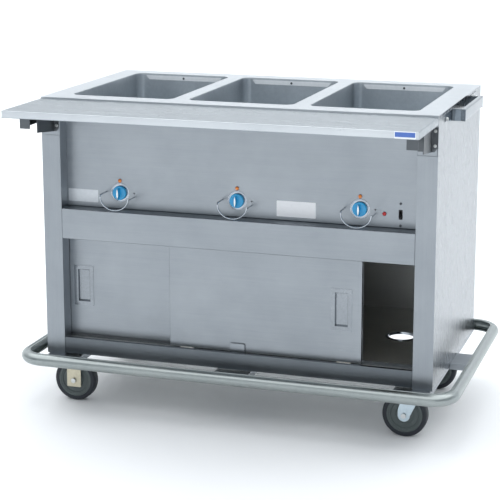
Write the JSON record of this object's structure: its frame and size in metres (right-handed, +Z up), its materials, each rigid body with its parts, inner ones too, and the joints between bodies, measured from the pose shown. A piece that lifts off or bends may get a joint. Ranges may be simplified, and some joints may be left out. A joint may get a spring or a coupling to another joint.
{
  "type": "steam table unit",
  "caption": "Mobile electric steam table: food wells in a steel deck over a cabinet with sliding doors, fold-edged work shelf, wrap-round bumper and casters.",
  "frame": {"origin": "on the floor under the middle of the whole footprint, wheels standing on z = 0", "axes": "+X to the right of a person facing the controls, +Y from the front to the back, +Z up"},
  "size_m": [1.279, 0.941, 0.914],
  "materials": {
    "brushed_stainless": "brushed stainless sheet",
    "liner_steel": "drawn steel, matt",
    "polished_steel": "bright polished steel",
    "dark_steel": "steel in shade, satin",
    "bolt_zinc": "zinc plated",
    "bumper_steel": "satin tube steel",
    "insulation": "glass fibre board",
    "element_sheath": "oxidised metal sheath",
    "zinc_yellow": "yellow zinc plate",
    "zinc_blue": "blue zinc plate",
    "lamp_amber": "clear moulded jewel",
    "black_plastic": "moulded plastic",
    "label_blank": "printed film without text",
    "knob_blue": "moulded plastic",
    "hub_grey": "moulded polymer",
    "tyre": "soft rubber",
    "nylon_white": "nylon"
  },
  "bodies": {
    "cabinet": {"deck": "brushed_stainless", "well_liner_1": "liner_steel", "well_liner_2": "liner_steel", "well_liner_3": "liner_steel", "well_trims": "polished_steel", "panel_screws": "bolt_zinc", "well_insulation": "insulation", "heating_elements": "element_sheath", "left_end_panel": "brushed_stainless", "right_end_panel": "brushed_stainless", "back_panel": "brushed_stainless", "front_posts": "brushed_stainless", "post_covers": "brushed_stainless", "control_panel": "brushed_stainless", "middle_rail": "brushed_stainless", "bottom_rail": "brushed_stainless", "cabinet_floor": "dark_steel", "hose_grommet": "polished_steel", "door_track": "dark_steel", "door_guide_tab": "brushed_stainless", "work_shelf": "brushed_stainless", "shelf_brackets": "dark_steel", "frame_bolts": "bolt_zinc", "push_bar": "brushed_stainless", "push_bar_arms": "dark_steel", "base_channels": "brushed_stainless", "bumper_rail": "bumper_steel", "rigid_caster_forks": "zinc_yellow", "rigid_caster_axles": "bolt_zinc", "swivel_caster_plates": "zinc_blue", "dial_plates": "polished_steel", "knob_guards": "polished_steel", "indicator_lamps": "lamp_amber", "control_switches": "black_plastic", "toggle_switch": "black_plastic", "terminal_block": "black_plastic", "cord_gland": "black_plastic", "blank_labels": "label_blank"},
    "front_swivel": {"front_swivel_fork": "zinc_blue", "front_swivel_axle": "bolt_zinc"},
    "rear_swivel": {"rear_swivel_fork": "zinc_blue", "rear_swivel_axle": "bolt_zinc"},
    "front_left_wheel": {"front_left_hub": "hub_grey", "front_left_tyre": "tyre"},
    "rear_left_wheel": {"rear_left_hub": "hub_grey", "rear_left_tyre": "tyre"},
    "front_right_wheel": {"front_right_hub": "hub_grey", "front_right_tyre": "tyre"},
    "rear_right_wheel": {"rear_right_hub": "hub_grey", "rear_right_tyre": "tyre"},
    "front_door": {"front_door": "brushed_stainless", "front_door_pull": "polished_steel", "front_door_glides": "nylon_white"},
    "rear_door": {"rear_door": "brushed_stainless", "rear_door_pull": "polished_steel", "rear_door_glides": "nylon_white"},
    "knob_left": {"knob_1": "knob_blue"},
    "knob_middle": {"knob_2": "knob_blue"},
    "knob_right": {"knob_3": "knob_blue"},
    "toggle": {"toggle_lever": "black_plastic"}
  },
  "joints": [
    {"name": "front_swivel_turn", "type": "hinge", "parent": "cabinet", "child": "front_swivel", "pos_m": [0.5115, -0.1275, 0.15], "axis": [0, 0, 1], "continuous": true},
    {"name": "front_right_wheel_spin", "type": "hinge", "parent": "front_swivel", "child": "front_right_wheel", "pos_m": [0.4705, -0.1275, 0.0635], "axis": [0, 1, 0], "continuous": true},
    {"name": "front_left_wheel_spin", "type": "hinge", "parent": "cabinet", "child": "front_left_wheel", "pos_m": [-0.5195, -0.1275, 0.0635], "axis": [0, 1, 0], "continuous": true},
    {"name": "rear_swivel_turn", "type": "hinge", "parent": "cabinet", "child": "rear_swivel", "pos_m": [0.5115, 0.2945, 0.15], "axis": [0, 0, 1], "continuous": true},
    {"name": "rear_right_wheel_spin", "type": "hinge", "parent": "rear_swivel", "child": "rear_right_wheel", "pos_m": [0.4705, 0.2945, 0.0635], "axis": [0, 1, 0], "continuous": true},
    {"name": "rear_left_wheel_spin", "type": "hinge", "parent": "cabinet", "child": "rear_left_wheel", "pos_m": [-0.5195, 0.2945, 0.0635], "axis": [0, 1, 0], "continuous": true},
    {"name": "front_door_slide", "type": "slide", "parent": "cabinet", "child": "front_door", "axis": [1, 0, 0], "range_m": [-0.311, 0.147]},
    {"name": "rear_door_slide", "type": "slide", "parent": "cabinet", "child": "rear_door", "axis": [1, 0, 0], "range_m": [0, 0.489]},
    {"name": "knob_left_turn", "type": "hinge", "parent": "cabinet", "child": "knob_left", "pos_m": [-0.347, -0.1945, 0.645], "axis": [0, 1, 0], "range_deg": [0, 300]},
    {"name": "knob_middle_turn", "type": "hinge", "parent": "cabinet", "child": "knob_middle", "pos_m": [0, -0.1945, 0.645], "axis": [0, 1, 0], "range_deg": [0, 300]},
    {"name": "knob_right_turn", "type": "hinge", "parent": "cabinet", "child": "knob_right", "pos_m": [0.347, -0.1945, 0.645], "axis": [0, 1, 0], "range_deg": [0, 300]},
    {"name": "toggle_flip", "type": "hinge", "parent": "cabinet", "child": "toggle", "pos_m": [0.458, -0.1775, 0.636], "axis": [-1, 0, 0], "range_deg": [0, 56]}
  ]
}
